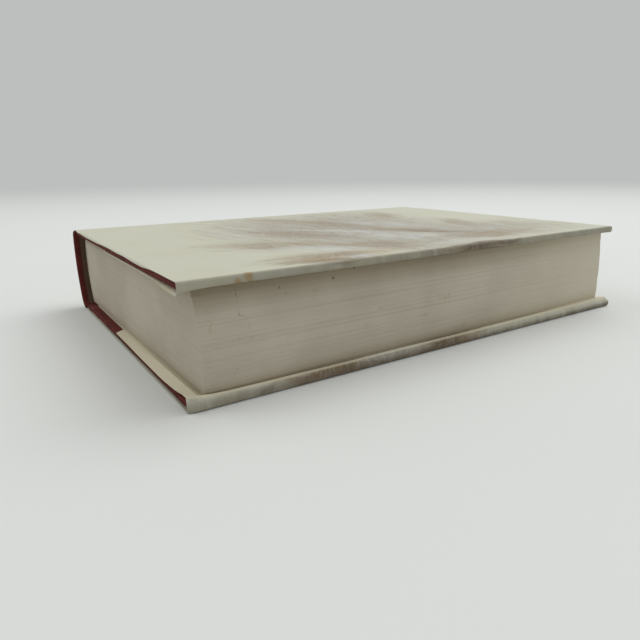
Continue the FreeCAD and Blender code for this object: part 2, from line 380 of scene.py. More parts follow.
def caseCloth():
    look = clothLook
    material = newMaterial("caseCloth")
    tree = material.node_tree
    place = add(tree, "TexCoord").outputs["Object"]
    split = add(tree, "SeparateXYZ", {0: place})
    crossed = add(tree, "SeparateXYZ", {0: warped(tree, place, 120.0, 0.0006)})
    rate = look["threads"] * math.pi
    weft = calc(tree, "SINE", calc(tree, "MULTIPLY", crossed.outputs[1], rate))
    level = calc(tree, "ADD", crossed.outputs[0], crossed.outputs[2])
    warp = calc(tree, "SINE", calc(tree, "MULTIPLY", level, rate))
    weave = calc(tree, "MULTIPLY_ADD", calc(tree, "MULTIPLY", weft, warp), 0.5, 0.5)
    mottle = patch(tree, place, 140.0, 4.0, 0.6)
    colour = blendColour(tree, spread(tree, mottle, 0.3, 0.7), look["deep"], look["maroon"])
    colour = blendColour(tree, calc(tree, "MULTIPLY", weave, 0.2), colour, look["deep"])
    edge = add(tree, "NewGeometry").outputs["Pointiness"]
    scuff = calc(tree, "MULTIPLY", spread(tree, edge, 0.52, 0.6), spread(tree, mottle, 0.45, 0.6))
    colour = blendColour(tree, calc(tree, "MULTIPLY", scuff, 0.5), colour, look["worn"])
    # painted shade deep inside the hollow of the spine, browned by light bounced off the leaves
    inside = calc(tree, "SUBTRACT", 1.0, spread(tree, calc(tree, "ABSOLUTE", split.outputs[1]), 0.1176, 0.1186))
    inSpine = calc(tree, "SUBTRACT", 1.0, spread(tree, split.outputs[0], -0.088, -0.086))
    colour = blendColour(tree, calc(tree, "MULTIPLY", calc(tree, "MULTIPLY", inside, inSpine), 0.85), colour, look["spineShade"])
    height = calc(tree, "MULTIPLY_ADD", weave, 0.6, mottle)
    rough = calc(tree, "MULTIPLY_ADD", mottle, 0.1, 0.84)
    return finishMaterial(material, colour, rough, height, 0.1, 0.4, Specular_IOR_Level=0.15)


leafLook = {
    # painted light towards the head end of the front edge
    "headEndLight": tone(214, 207, 187),
    "paper": tone(179, 172, 156),
    "pale": tone(190, 183, 166),
    "shade": tone(157, 146, 127),
    "foxing": tone(158, 138, 108),
    # painted shadow under the top fold
    "underFoldShadow": tone(132, 118, 95),
    # glue brown, also the colour of the painted shade along the spine side
    "glue": tone(118, 100, 74),
    "dark": tone(84, 66, 48),
    # a hair crack that runs down the front edge, in Y and Z
    "crack": [(-99.2, 38.6), (-99.6, 35.0), (-99.9, 29.4), (-97.4, 28.0), (-97.0, 24.2), (-93.6, 21.8)],
    "crackWidth": 0.09,
    # specks on the front edge: Y, Z and radius
    "foreSpecks": [(-49.8, 39.2, 0.65), (-60.2, 36.5, 0.6), (-83.0, 35.9, 0.4)],
    "faintSpecks": [(-90.6, 38.8, 0.35), (-81.0, 33.8, 0.4), (-43.1, 24.1, 0.4), (-112.7, 14.0, 0.3), (-102.5, 11.4, 0.3)],
    # specks on the tail face: X, Z and radius
    "tailSpecks": [(42.2, 11.4, 0.4), (52.4, 12.9, 0.35), (59.3, 32.8, 0.4)],
}


def nearLine(tree, place, start, end):
    # how far a place is from a short straight line, all in one plane
    way = Vector(end) - Vector(start)
    fromStart = add(tree, "VectorMath", {0: place, 1: start}, operation="SUBTRACT").outputs[0]
    dot = add(tree, "VectorMath", {0: fromStart, 1: way / way.length_squared}, operation="DOT_PRODUCT").outputs["Value"]
    share = calc(tree, "ADD", dot, 0.0, clamp=True)
    foot = add(tree, "VectorMath", {0: tuple(way), "Scale": share}, operation="SCALE").outputs[0]
    return add(tree, "VectorMath", {0: fromStart, 1: foot}, operation="DISTANCE").outputs["Value"]


def spotMask(tree, place, spots, blur):
    mask = 0.0
    for x, y, radius in spots:
        away = add(tree, "VectorMath", {0: place, 1: (x * mm, y * mm, 0)}, operation="DISTANCE").outputs["Value"]
        spot = calc(tree, "SUBTRACT", 1.0, spread(tree, away, radius * mm * 0.35, radius * mm * blur))
        mask = spot if mask == 0.0 else calc(tree, "MAXIMUM", mask, spot)
    return mask


def leafEdges():
    # the trimmed edges of the leaves: fine lines one leaf apart, uneven toning, dust and marks, with painted shade
    # under the top fold and along the spine side, and painted light towards the head
    look = leafLook
    material = newMaterial("leafEdges")
    tree = material.node_tree
    place = add(tree, "TexCoord").outputs["Object"]
    split = add(tree, "SeparateXYZ", {0: place})
    x, y, z = split.outputs[0], split.outputs[1], split.outputs[2]
    sway = patch(tree, place, 22.0, 2.0, 0.5)
    level = calc(tree, "MULTIPLY_ADD", sway, 0.0012, z)
    lined = add(tree, "CombineXYZ", {0: x, 1: y, 2: level}).outputs[0]
    leaves = patch(tree, lined, 60.0, 5.0, 0.7, (0.05, 0.05, 90.0))
    sections = patch(tree, lined, 14.0, 3.0, 0.6, (0.2, 0.2, 30.0))
    toning = patch(tree, place, 28.0, 3.0, 0.55)
    facing = add(tree, "SeparateXYZ", {0: add(tree, "TexCoord").outputs["Normal"]})
    atFront = spread(tree, facing.outputs[0], 0.6, 0.7)
    colour = blendColour(tree, spread(tree, toning, 0.35, 0.7), look["paper"], look["pale"])
    lines = calc(tree, "MULTIPLY", spread(tree, leaves, 0.48, 0.62), calc(tree, "MULTIPLY_ADD", atFront, 0.25, 0.15))
    colour = blendColour(tree, lines, colour, look["shade"])
    colour = blendColour(tree, calc(tree, "MULTIPLY", spread(tree, sections, 0.56, 0.7), 0.35), colour, look["shade"])
    # yellowing towards the top and the foot of the block
    height = calc(tree, "MULTIPLY_ADD", z, 1 / ((blockTop - blockFoot) * mm), -blockFoot / (blockTop - blockFoot))
    rim = calc(tree, "ABSOLUTE", calc(tree, "SUBTRACT", height, 0.5))
    yellow = calc(tree, "MULTIPLY", spread(tree, rim, 0.36, 0.5), 0.35)
    colour = blendColour(tree, yellow, colour, look["foxing"])
    foxed = calc(tree, "MULTIPLY", spread(tree, patch(tree, place, 160.0, 4.0, 0.7), 0.62, 0.74), 0.35)
    colour = blendColour(tree, foxed, colour, look["foxing"])
    # painted shadow: the front edge is darkest just under the top fold
    underFoldShadow = calc(tree, "MULTIPLY", spread(tree, height, 0.7, 0.94), atFront)
    colour = blendColour(tree, calc(tree, "MULTIPLY", underFoldShadow, 0.5), colour, look["underFoldShadow"])
    # painted light: the front edge grows lighter towards the head
    towardsHead = calc(tree, "MULTIPLY", spread(tree, y, -0.02, 0.12), atFront)
    colour = blendColour(tree, calc(tree, "MULTIPLY", towardsHead, 0.6), colour, look["headEndLight"])
    # glue shows as a brown line where the leaves meet the spine, spread wider as painted shade along the spine side of
    # the leaves
    spineShade = calc(tree, "SUBTRACT", 1.0, spread(tree, calc(tree, "MULTIPLY_ADD", patch(tree, place, 90.0), 0.002, x), -0.089, -0.0835))
    colour = blendColour(tree, calc(tree, "MULTIPLY", spineShade, 0.45), colour, look["glue"])
    # marks on the front edge, in Y and Z
    forePlane = add(tree, "CombineXYZ", {0: y, 1: z}).outputs[0]
    points = [(a * mm, b * mm, 0) for a, b in look["crack"]]
    away = None
    for start, end in zip(points, points[1:]):
        part = nearLine(tree, forePlane, start, end)
        away = part if away is None else calc(tree, "MINIMUM", away, part)
    ragged = calc(tree, "MULTIPLY_ADD", patch(tree, place, 500.0, 3.0), 0.0009, calc(tree, "SUBTRACT", away, 0.00045))
    crack = calc(tree, "SUBTRACT", 1.0, spread(tree, ragged, look["crackWidth"] * mm * 0.4, look["crackWidth"] * mm * 1.8))
    broken = spread(tree, patch(tree, place, 260.0, 2.0), 0.4, 0.55)
    crack = calc(tree, "MULTIPLY", crack, calc(tree, "MULTIPLY_ADD", broken, 0.32, 0.14))
    loose = warped(tree, forePlane, 900.0, 0.0007)
    specks = calc(tree, "MULTIPLY", spotMask(tree, loose, look["foreSpecks"], 1.3), 0.9)
    faint = calc(tree, "MULTIPLY", spotMask(tree, loose, look["faintSpecks"], 1.5), 0.3)
    marks = calc(tree, "MAXIMUM", crack, calc(tree, "MAXIMUM", specks, faint))
    marks = calc(tree, "MULTIPLY", marks, atFront)
    tailPlane = add(tree, "CombineXYZ", {0: x, 1: z}).outputs[0]
    onTail = spread(tree, calc(tree, "MULTIPLY", facing.outputs[1], -1.0), 0.7, 0.8)
    tailMarks = calc(tree, "MULTIPLY", spotMask(tree, tailPlane, look["tailSpecks"], 1.5), onTail)
    marks = calc(tree, "MAXIMUM", marks, calc(tree, "MULTIPLY", tailMarks, 0.45))
    colour = blendColour(tree, calc(tree, "MULTIPLY", marks, 0.8), colour, look["dark"])
    relief = calc(tree, "MULTIPLY_ADD", sections, 0.8, leaves)
    relief = calc(tree, "SUBTRACT", relief, calc(tree, "MULTIPLY", marks, 0.4))
    return finishMaterial(material, colour, 0.85, relief, 0.14, 0.55, Specular_IOR_Level=0.2)


plainPapers = {
    "endPaper": {"base": tone(208, 202, 180), "other": tone(196, 186, 160), "grain": 700.0, "rough": 0.8},
    "boardCard": {"base": tone(150, 142, 126), "other": tone(120, 112, 98), "grain": 420.0, "rough": 0.9},
    "spineCard": {"base": tone(120, 104, 84), "other": tone(98, 82, 64), "grain": 380.0, "rough": 0.9},
    "liningKraft": {"base": tone(138, 112, 78), "other": tone(112, 88, 60), "grain": 520.0, "rough": 0.85},
    "paperCore": {"base": tone(206, 198, 182), "other": tone(182, 170, 148), "grain": 900.0, "rough": 0.8},
}


def plainPaper(name):
    look = plainPapers[name]
    material = newMaterial(name)
    tree = material.node_tree
    place = add(tree, "TexCoord").outputs["Object"]
    cloud = patch(tree, place, 30.0, 4.0, 0.6)
    fibre = patch(tree, place, look["grain"], 4.0, 0.7, (1.0, 0.4, 1.0))
    colour = blendColour(tree, spread(tree, cloud, 0.4, 0.75), look["base"], look["other"])
    colour = blendColour(tree, calc(tree, "MULTIPLY", spread(tree, fibre, 0.5, 0.8), 0.25), colour, look["other"])
    return finishMaterial(material, colour, look["rough"], fibre, 0.06, 0.4, Specular_IOR_Level=0.25)


gauzeLook = {"thread": tone(196, 186, 156), "glue": tone(150, 128, 88), "threads": 700.0}


def mullGauze():
    look = gauzeLook
    material = newMaterial("mullGauze")
    tree = material.node_tree
    split = add(tree, "SeparateXYZ", {0: add(tree, "TexCoord").outputs["Object"]})
    rate = look["threads"] * math.pi
    weft = calc(tree, "ABSOLUTE", calc(tree, "SINE", calc(tree, "MULTIPLY", split.outputs[1], rate)))
    warp = calc(tree, "ABSOLUTE", calc(tree, "SINE", calc(tree, "MULTIPLY", split.outputs[2], rate)))
    net = calc(tree, "MAXIMUM", weft, warp)
    colour = blendColour(tree, spread(tree, net, 0.7, 0.95), look["glue"], look["thread"])
    return finishMaterial(material, colour, 0.8, net, 0.15, 0.6)


materials = {
    "jacket": jacketPaper(),
    "cloth": caseCloth(),
    "leaves": leafEdges(),
    "gauze": mullGauze(),
}
for paperName in plainPapers:
    materials[paperName] = plainPaper(paperName)
print("materials made:", len(materials))


def dress(piece, finish, cutEdge=None):
    piece.data.materials.clear()
    piece.data.materials.append(materials[finish])
    if cutEdge:
        piece.data.materials.append(materials[cutEdge])


# The block of leaves; the jacket's folds and the leaves themselves follow these sizes
block = {
    "turn": 0.6,                # degrees, the block sits askew in its case
    "halfHeight": 115.5,
    "levels": 130,
    "foreStops": 74,
    "endStops": 40,
    "backStops": 18,
    "rounding": 4.2,
    "foreFoot": 73.0,
    # the trimmed front edge: share of the height, and how far it stands past the foot
    "foreLine": [(0.0, 0.0), (0.15, 0.52), (0.3, 0.8), (0.5, 0.35), (0.65, -0.45), (0.8, -1.7), (0.9, -2.7), (1.0, -3.9)],
    # at the tail corner the front edge is sprung differently: share of the height, and how much further out
    "tailSpring": [(0.0, 0.3), (0.08, 0.7), (0.22, 1.0), (0.36, 0.8), (0.56, 0.8), (0.7, 0.4), (0.85, -0.5),
                   (0.93, -1.2), (1.0, -1.8)],
    "headSpring": [(0.0, -0.9), (0.06, -1.0), (0.3, -1.7), (0.55, -1.3), (0.78, -0.3), (0.9, 0.6), (1.0, 1.6)],
    "leafSlip": 0.03,           # each leaf is off by about this much
    "sectionSlip": 0.09,
    "edgeSway": 0.12,
}

# Spine outline, shared by the cloth and the jacket; each layer is the same line, deeper in
spineShape = {
    "topRadius": 4.5,
    "footRadius": 8.0,
    "wallRadius": 60.0,
    "topOverhang": 2.8,
    "footOverhang": -0.3,
    "arcSteps": 9,
}


def spinePath(depth):
    shape = spineShape
    topCentre = Vector((frontHinge.x - shape["topOverhang"], 0, bookTop - shape["topRadius"]))
    footCentre = Vector((backHinge.x - shape["footOverhang"], 0, shape["footRadius"]))
    reachTop = shape["wallRadius"] - shape["topRadius"]
    reachFoot = shape["wallRadius"] - shape["footRadius"]
    between = topCentre - footCentre
    span = between.length
    along = (reachFoot ** 2 - reachTop ** 2 + span ** 2) / (2 * span)
    unit = between / span
    side = Vector((unit.z, 0, -unit.x)) * math.sqrt(reachFoot ** 2 - along ** 2)
    wallCentre = footCentre + unit * along + side

    def angleOf(target):
        way = target - wallCentre
        return math.atan2(way.z, way.x) % (2 * math.pi)

    topTurn, footTurn = angleOf(topCentre), angleOf(footCentre)
    arcs = [
        (topCentre, shape["topRadius"], math.pi / 2, topTurn),
        (wallCentre, shape["wallRadius"], topTurn, footTurn),
        (footCentre, shape["footRadius"], footTurn, 3 * math.pi / 2),
    ]
    path = [Vector((frontHinge.x, 0, bookTop - depth))]
    for centre, radius, start, end in arcs:
        for i in range(shape["arcSteps"] + 1):
            turn = start + (end - start) * i / shape["arcSteps"]
            stop = centre + Vector((math.cos(turn), 0, math.sin(turn))) * (radius - depth)
            if (stop - path[-1]).length > 0.05:
                path.append(stop)
    path.append(Vector((backHinge.x, 0, depth)))
    return path


# Dust jacket, three sheets that meet over the joints
jacket = {
    "thickness": 0.2,
    "step": 5.0,                # between stops on the flat parts
    "tailEdge": -120.45,        # the jacket has slipped towards the tail
    "headEdge": 119.4,
    "askew": 0.5,              # its spine and back reach this much further than its front
    "curlFrom": -119.5,
    "curlStops": 6,
    "grooveDip": 0.35,
    "flap": 95.0,
    "flapSlant": 2.5,
    "frontReach": 0.62,         # the front fold stands this far past the wrapped board
    "frontFoldFoot": 40.3,
    "backReach": 1.12,
    "backCrest": 4.65,
    "ripple": 0.1,
    # how far the tail edge of the top bends down over the board: X and drop
    "tailDroop": [(-88, 0.0), (-78, 0.5), (-60, 0.9), (-36, 0.8), (-24, 0.45), (-12, 0.4), (0, 0.6), (12, 0.4),
                  (20, 0.65), (29, 0.85), (37, 0.8), (47, 0.15), (54, 0.0), (80, 0.0)],
    # how far the tail edge of the bottom bends up round the board
    "tailRise": [(-85, 0.0), (-76, 0.3), (-48, 0.35), (-30, 0.5), (-12, 0.75), (8, 0.7), (28, 0.5), (44, 0.55),
                 (60, 0.7), (70, 0.5), (76, 0.2), (80, 0.0)],
    # how far the front flap sags at its tail corner
    "flapSag": [(46, 0.0), (53, 0.5), (61, 1.5), (66, 1.6), (71, 1.0), (75, 0.5)],
    # how far the back flap swells against the foot of the leaves, and its tail edge bends down or up
    "flapSwell": [(-30, 0.2), (-16, 0.3), (13, 0.5), (40, 1.7), (58, 1.95), (72, 2.1), (75, 2.2)],
    "flapLip": [(-30, -0.3), (30, -0.3), (44, -0.6), (55, -0.65), (61, 0.2), (66, 0.8), (70, 1.35), (73, 1.9)],
}


def blockFore(y):
    # the front edge of the lowest leaf at this height of the page
    sprung = block["headSpring"][0][1] * easeIn(50, 116, y)
    return block["foreFoot"] + sprung - math.tan(math.radians(block["turn"])) * y


def frontSection(y):
    tail = math.exp(-(y - jacket["tailEdge"]) / 9)
    head = math.exp(-(jacket["headEdge"] - y) / 12)
    top = bookTop - jacket["thickness"] / 2
    edge = clothEdge - lean
    under = bookTop - pasteFace - jacket["thickness"] / 2 - 0.04
    curl = math.exp(-(y - jacket["tailEdge"]) / 0.6)
    reach = jacket["frontReach"] + 0.1 * wobble(y * 0.03, 0, 0, 1) - 0.4 * curl
    foot = jacket["frontFoldFoot"] - tail - 0.4 * head - 0.3 * curl + 0.12 * wobble(y * 0.04, 1, 0, 2)
    sagging = max(0.0, 1 - (y - jacket["tailEdge"]) / 5.2) ** 2
    flapEnd = edge - jacket["flap"] + jacket["flapSlant"] * (y / halfJacket)
    section = [
        (frontHinge.x, top),
        (frontHinge.x + 4.6, top - jacket["grooveDip"]),
        (frontBoardLow.x + 0.4, top),
        (frontBoardLow.x + 8, top),
        (edge - 6, top),
        (edge - 0.5, top),
        (edge + reach - 0.2, top - 0.3),
        (edge + reach, top - 1.15),
        (edge + reach - 0.05, foot + 0.7),
        (edge + reach - 0.45, foot + 0.06),
        (edge - 0.5, min(foot, under + 0.05)),
        (edge - 3, min(foot + 0.3, under)),
        (edge - 8, under),
        (edge - 14, under),
        (edge - 22, under),
        (edge - 34, under),
        (flapEnd, under),
    ]
    flapFrom = len(section) - 7
    return [(x, z - lookUp(jacket["flapSag"], x) * sagging if i >= flapFrom and x > 46 else z)
            for i, (x, z) in enumerate(section)]


def backSection(y):
    fromTail = y - jacket["tailEdge"]
    tail = math.exp(-fromTail / 5.5)
    tuck = math.exp(-fromTail / 0.9)               # the fold closes in round the corner of the board
    head = easeIn(30, 115, y)
    low = jacket["thickness"] / 2
    edge = clothEdge
    inner = pasteFace + jacket["thickness"] / 2 + 0.04
    reach = jacket["backReach"] + 0.05 * wobble(y * 0.03, 0, 0, 3) - 1.9 * tuck
    crest = jacket["backCrest"] + 1.6 * tail - 1.1 * tuck - 0.2 * head + 0.12 * wobble(y * 0.035, 2, 0, 4)
    crestX = edge + 0.2 - 1.7 * head - 2.1 * tuck
    wide = 2.3 + 0.9 * easeIn(-20, -90, y) + 0.6 * tail - 0.6 * tuck
    footX = blockFore(y)
    flapEnd = edge - jacket["flap"] + jacket["flapSlant"] * (y / halfJacket) + 3.5 * tail
    section = [
        (backHinge.x, low),
        (backHinge.x + 4.6, low + jacket["grooveDip"]),
        (boardLow.x + 0.4, low),
        (boardLow.x + 8, low),
        (edge - 6, low),
        (edge + 0.35 - 0.5 * tuck, low),
        (edge + reach - 0.12, low + 0.45),
        (edge + reach, wide * 0.6),
        (edge + reach - 0.04, wide),
        (crestX + 0.7 + 0.3 * head - 0.3 * tuck, crest - 0.55 - 0.35 * head),
        (crestX, crest - 0.1),
        (crestX - 0.75, crest - 0.45 + 0.3 * tuck),
        (footX + 0.75 - 3.2 * tuck, inner + 0.75),
        (footX - 0.3 - 4.0 * tuck, inner + 0.08),
        (footX - 6 - 4.0 * tuck, inner),
        (footX - 13, inner),
        (footX - 30, inner),
        (flapEnd, inner),
    ]
    # the flap swells in front of the leaves, and its tail edge bends
    swell = easeIn(-115.2, -116.4, y) * max(0.0, 1 - max(0.0, -116.4 - y) / 4.05)
    lip = max(0.0, 1 - fromTail / 4.2) ** 1.5
    flapFrom = len(section) - 6
    bent = []
    for i, (x, z) in enumerate(section):
        if i >= flapFrom:
            share = 0.4 if i == flapFrom else 1.0
            z += share * (lookUp(jacket["flapSwell"], x) * swell + lookUp(jacket["flapLip"], x) * lip)
            z = min(z, crest - 0.4) if i < flapFrom + 2 else z
        bent.append((x, z))
    return bent


def jacketStops():
    # Y of each row, and how far round the curled tail edge it is
    curl = jacket["curlStops"]
    reach = jacket["curlFrom"] - jacket["tailEdge"]
    stops = []
    for i in range(curl, 0, -1):
        turn = math.pi / 2 * i / curl
        stops.append((jacket["curlFrom"] - reach * math.sin(turn), 1 - math.cos(turn)))
    for y in easedStops(jacket["curlFrom"], jacket["headEdge"], 0.6, 4.0):
        stops.append((y, 0.0))
    return stops


def unevenCut(point, y):
    # the trimmed ends of the paper are not quite straight
    near = math.exp(-(halfJacket - abs(y)) / 3)
    return y - math.copysign(near * 0.05 * (1 + wobble(point.x * 0.05, 0, point.z * 0.06, 9)), y)


def coverSheet(name, section, bend, askew, printStart, printWay, seed):
    counts = stopCounts(section(0), jacket["step"])
    lengths = lengthsAlong(smoothPath(section(0), counts))
    panel = sum(counts[:5]) + 1                    # stops on the outer panel
    rows, prints = [], []
    for y, curl in jacketStops():
        near = math.exp(-(halfJacket - abs(y)) / 6)
        row = []
        for i, point in enumerate(smoothPath(section(y), counts)):
            lift = bend(point.x) * curl if i < panel else 0.0
            if 0.35 * panel < i < panel - 3:
                lift += near * jacket["ripple"] * (wobble(point.x * 0.05, y * 0.02, 0, seed) - 0.6) * (curl == 0)
            further = askew * easeIn(0, -115, y) * easeIn(panel + 22, panel, i)
            row.append((point.x, unevenCut(point, y) - further, point.z + lift))
        rows.append(row)
        prints.append([((printStart + printWay * s) * mm, y * mm) for s in lengths])
    sheet = gridObject(name, rows, prints=prints)
    return thicken(sheet, jacket["thickness"])


def spineSheet(name):
    path = spinePath(jacket["thickness"] / 2)
    lengths = lengthsAlong(path)
    rows, prints = [], []
    for y, curl in jacketStops():
        row = []
        for point in path:
            further = jacket["askew"] * easeIn(0, -115, y) * easeIn(bookTop, bookTop - 3.5, point.z)
            row.append((point.x, unevenCut(point, y) - further, point.z))
        rows.append(row)
        prints.append([(-s * mm, y * mm) for s in lengths])
    return thicken(gridObject(name, rows, prints=prints), jacket["thickness"]), lengths[-1]


def droop(x):
    return -lookUp(jacket["tailDroop"], x)


def rise(x):
    return lookUp(jacket["tailRise"], x)


spineJacket, spineLength = spineSheet("dustJacketSpine")
frontJacket = coverSheet("dustJacketFront", frontSection, droop, 0.0, 0.0, 1.0, 5)
backJacket = coverSheet("dustJacketBack", backSection, rise, jacket["askew"], -spineLength, -1.0, 6)
for sheet in (spineJacket, frontJacket, backJacket):
    dress(sheet, "jacket", "paperCore")
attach(spineJacket, "root")
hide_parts("jacket_spine")
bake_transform(frontJacket)
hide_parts("jacket_front")
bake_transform(backJacket)
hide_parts("jacket_back")
print("dust jacket folded, spine length", round(spineLength, 1))


# Boards with eased edges, and the case cloth: a tray round each board,
# a sheet round the spine, and a strip over each joint
cloth = {
    "thickness": 0.3,
    "turnIn": 15.0,
    "cornerRadius": 1.6,
    "cornerStops": 6,
    "step": 5.0,
    "endEase": 0.3,             # worn off the tail and head of each board
    "jointSag": 0.75,
    "spineProud": 0.7,          # the spine reaches this much past the covers at the tail
}


def aroundBoard():
    # three sides of the board, from the spine at the tail round to the spine at the head;
    # each stop also says which way is out
    radius = cloth["cornerRadius"]
    half = halfBoard - cloth["endEase"]
    edge = boardHigh.x
    quarter = [math.pi / 2 * i / cloth["cornerStops"] for i in range(1, cloth["cornerStops"])]
    stops = [(x, -half, 0, -1) for x in evenStops(boardLow.x, edge - radius, cloth["step"])]
    for turn in quarter:
        outX, outY = math.sin(turn), -math.cos(turn)
        stops.append((edge - radius + radius * outX, radius - half + radius * outY, outX, outY))
    stops += [(edge, y, 1, 0) for y in evenStops(radius - half, half - radius, cloth["step"])]
    for turn in quarter:
        outX, outY = math.cos(turn), math.sin(turn)
        stops.append((edge - radius + radius * outX, half - radius + radius * outY, outX, outY))
    stops += [(x, half, 0, 1) for x in reversed(evenStops(boardLow.x, edge - radius, cloth["step"]))]
    return stops


def shellRows(profile, place, seed, rub):
    # the profile, offset outwards and level, swept round the board
    rows = []
    half = halfBoard - cloth["endEase"]
    for x, y, outX, outY in aroundBoard():
        row = []
        for offset, z in profile:
            if offset > -1.5:
                worn = rub * wobble(x * 0.09, y * 0.09, z * 0.4, seed)
                spot = (x + outX * (offset + worn), y + outY * (offset + worn), z)
            else:
                limit = half + offset
                spot = (min(x, boardHigh.x + offset), max(-limit, min(y, limit)), z)
            row.append(place(spot))
        rows.append(row)
    return rows


def closeWith(piece, *rims):
    # flat faces over the open sides, given as lists of vertex numbers
    mesh = piece.data
    points = [tuple(v.co) for v in mesh.vertices]
    faces = [tuple(p.vertices) for p in mesh.polygons] + [tuple(rim) for rim in rims]
    mesh.clear_geometry()
    mesh.from_pydata(points, [], faces)
    work = bmesh.new()
    work.from_mesh(mesh)
    bmesh.ops.remove_doubles(work, verts=work.verts, dist=0.01 * mm)
    bmesh.ops.recalc_face_normals(work, faces=work.faces)
    work.to_mesh(mesh)
    work.free()


def clothTray(name, seed, place):
    half = cloth["thickness"] / 2
    outer = boardLow.z - half
    inner = boardHigh.z + half
    profile = [(-cloth["turnIn"], outer), (-7, outer), (-2.2, outer), (-0.9, outer), (-0.45, outer + 0.07),
               (-0.12, outer + 0.27), (0.08, outer + 0.58), (half, outer + 0.95), (half, inner - 0.75),
               (0.07, inner - 0.32), (-0.2, inner - 0.08), (-0.8, inner), (-2.5, inner), (-7, inner),
               (-cloth["turnIn"], inner)]
    rows = shellRows(profile, place, seed, 0.05)
    tray = gridObject(name, rows)
    # the plain field of cloth on the outer face
    closeWith(tray, [r * len(profile) for r in range(len(rows))])
    return thicken(tray, cloth["thickness"], 50)


def boardSlab(name, seed, place):
    low, high = boardLow.z, boardHigh.z
    profile = [(-0.75, low), (-0.38, low + 0.12), (-0.1, low + 0.38), (0, low + 0.7), (0, high - 0.6),
               (-0.12, high - 0.22), (-0.45, high)]
    rows = shellRows(profile, place, seed, 0.02)
    slab = gridObject(name, rows)
    width = len(profile)
    last = (len(rows) - 1) * width
    foot = [r * width for r in range(len(rows))]
    top = [r * width + width - 1 for r in range(len(rows))]
    spineSide = list(range(width)) + [last + i for i in reversed(range(width))]
    closeWith(slab, foot, top, spineSide)
    smoothShade(slab, 35)
    return slab


def stayPut(point):
    return Vector(point)


def stripOver(name, outer, inner, halfHeight, thickness, turnIn):
    # a strip over a joint; where it turns in, its ends wrap from the outer line to the inner one
    counts = stopCounts(outer, 1.2)
    outerPath = smoothPath(outer, counts)
    innerPath = smoothPath(inner, counts)
    rows = []
    wrap = []
    if turnIn:
        wrap = [(1.0, turnIn), (1.0, 7.0), (1.0, 0.9), (0.93, 0.3), (0.75, 0.05), (0.5, 0.0), (0.25, 0.05),
                (0.07, 0.3)]
    for share, inset in wrap:
        rows.append([(a.x, -halfHeight + inset, a.z + (b.z - a.z) * share) for a, b in zip(outerPath, innerPath)])
    fromEnd = 0.9 if turnIn else 0.0
    for y in evenStops(-halfHeight + fromEnd, halfHeight - fromEnd, cloth["step"]):
        rows.append([(p.x, y, p.z) for p in outerPath])
    for share, inset in reversed(wrap):
        rows.append([(a.x, halfHeight - inset, a.z + (b.z - a.z) * share) for a, b in zip(outerPath, innerPath)])
    return thicken(gridObject(name, rows), thickness, 50)


def spineWrap(name):
    # the cloth wraps the ends of the card strip and turns in behind it
    skin, behind = skinDepth, turnInDepth
    end = halfCloth - cloth["thickness"] / 2
    low = -end - cloth["spineProud"]
    wrap = [(1.0, cloth["turnIn"]), (1.0, 7.0), (1.0, 0.9), (0.93, 0.3), (0.75, 0.05), (0.5, 0.0), (0.25, 0.05),
            (0.07, 0.3), (0.0, 0.9)]
    rows = []
    for share, inset in wrap:
        rows.append([(p.x, low + inset, p.z) for p in spinePath(skin + (behind - skin) * share)])
    for y in evenStops(low + 8, end - 8, 12):
        rows.append([(p.x, y, p.z) for p in spinePath(skin)])
    for share, inset in reversed(wrap):
        rows.append([(p.x, end - inset, p.z) for p in spinePath(skin + (behind - skin) * share)])
    return thicken(gridObject(name, rows), cloth["thickness"], 50)


def acrossJoint(fromX, toX, fromZ, toZ, sag):
    return [(fromX, fromZ), ((fromX + toX) / 2, (fromZ + toZ) / 2 + sag), (toX, toZ)]


skinDepth = jacket["thickness"] + cloth["thickness"] / 2
stripCard = 1.0                                                     # thickness of the card in the spine
turnInDepth = skinDepth + cloth["thickness"] + stripCard
boardTurnIn = boardHigh.z + cloth["thickness"] / 2
frontTray = clothTray("caseClothFront", 11, turnedOver)
backTray = clothTray("caseClothBack", 12, stayPut)
spineCover = spineWrap("caseClothSpine")
sag = cloth["jointSag"]
frontStrip = stripOver(
    "caseClothFrontJoint",
    acrossJoint(frontHinge.x, frontBoardLow.x, bookTop - skinDepth, bookTop - skinDepth, -sag),
    acrossJoint(frontHinge.x, frontBoardLow.x, bookTop - turnInDepth, bookTop - boardTurnIn, 0.1),
    halfCloth - 0.15, cloth["thickness"], cloth["turnIn"])
backStrip = stripOver(
    "caseClothBackJoint",
    acrossJoint(backHinge.x, boardLow.x, skinDepth, skinDepth, sag),
    acrossJoint(backHinge.x, boardLow.x, turnInDepth, boardTurnIn, -0.1),
    halfCloth - 0.15, cloth["thickness"], cloth["turnIn"])
frontCard = boardSlab("boardFront", 13, turnedOver)
backCard = boardSlab("boardBack", 14, stayPut)
for piece in (frontTray, backTray, spineCover, frontStrip, backStrip):
    dress(piece, "cloth")
for piece in (frontCard, backCard):
    dress(piece, "boardCard")
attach(frontTray, "front_cover")
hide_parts("front_cloth")
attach(backTray, "back_cover")
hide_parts("back_cloth")
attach(frontCard, "front_cover")
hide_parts("front_board")
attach(backCard, "back_cover")
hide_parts("back_board")
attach(spineCover, "root")
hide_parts("spine_cloth")
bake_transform(frontStrip)
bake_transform(backStrip)
print("boards and case cloth made")


# Block of leaves: a stack of thin levels, each a closed loop round the four sides
def foreReach(share, y):
    atTail = lookUp(block["tailSpring"], share) * easeIn(-50, -118, y)
    atHead = lookUp(block["headSpring"], share) * easeIn(50, 116, y)
    return block["foreFoot"] + lookUp(block["foreLine"], share) + atTail + atHead


def between(low, high, count):
    # count stops from low up to, but not at, high
    return [low + (high - low) * i / count for i in range(count)]


def endStops(back, fore):
    return between(back, back + 3, 4) + between(back + 3, fore - 3, block["endStops"]) + between(fore - 3, fore, 2)


